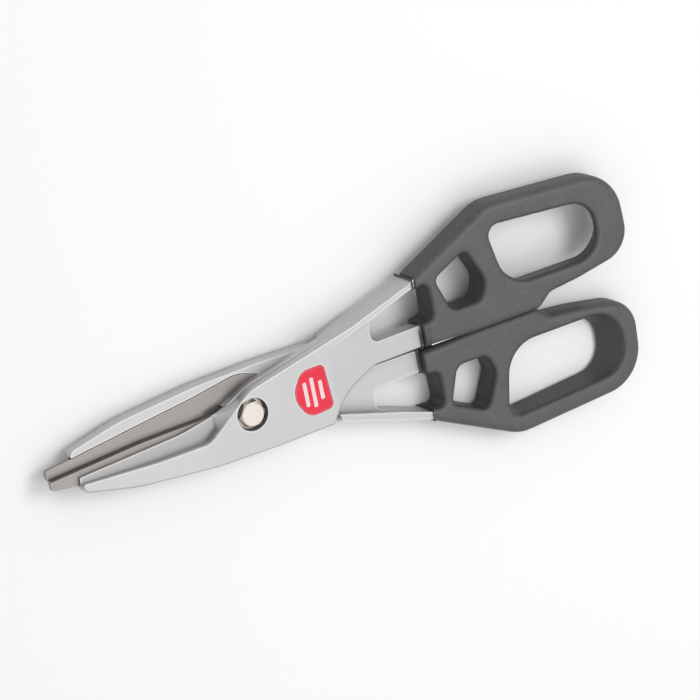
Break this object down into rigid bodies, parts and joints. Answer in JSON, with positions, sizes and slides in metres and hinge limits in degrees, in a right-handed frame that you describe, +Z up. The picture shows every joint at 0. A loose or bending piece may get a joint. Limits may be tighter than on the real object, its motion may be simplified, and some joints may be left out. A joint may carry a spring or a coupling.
{
  "type": "metal shear",
  "caption": "Tinner's snips: two cast aluminium halves with inlaid steel blades, a hex bolt pivot and vinyl grips with finger loops, opening like scissors.",
  "frame": {"origin": "on the pivot bolt's axis, on the surface that the snips lie on (the flat end of the bolt)", "axes": "+Z up along the pivot axis, towards the bolt head; +X from the pivot to the handles; +Y towards the front casting's handle"},
  "size_m": [0.3032, 0.1146, 0.0212],
  "materials": {
    "cast_aluminium": "satin die casting",
    "blade_steel": "ground",
    "screw_steel": "blackened",
    "plated_steel": "nickel plated",
    "badge_red": "gloss",
    "badge_white": "gloss",
    "grip_vinyl": "satin, fine grain"
  },
  "bodies": {
    "front_half": {"front_casting": "cast_aluminium", "front_blade": "blade_steel", "front_blade_screw_1": "screw_steel", "front_blade_screw_2": "screw_steel", "upper_grip": "grip_vinyl", "pivot_bolt": "plated_steel", "pivot_nut": "plated_steel", "spring_washer": "plated_steel", "pivot_bush": "blade_steel", "front_washer": "plated_steel", "back_washer": "plated_steel", "badge_plate": "badge_red", "badge_bars": "badge_white"},
    "back_half": {"back_casting": "cast_aluminium", "back_blade": "blade_steel", "back_blade_screw_1": "screw_steel", "back_blade_screw_2": "screw_steel", "lower_grip": "grip_vinyl"}
  },
  "joints": [
    {"name": "jaw_pivot", "type": "hinge", "parent": "front_half", "child": "back_half", "pos_m": [0, 0, 0.0106], "axis": [0, 0, -1], "range_deg": [0, 35]}
  ]
}
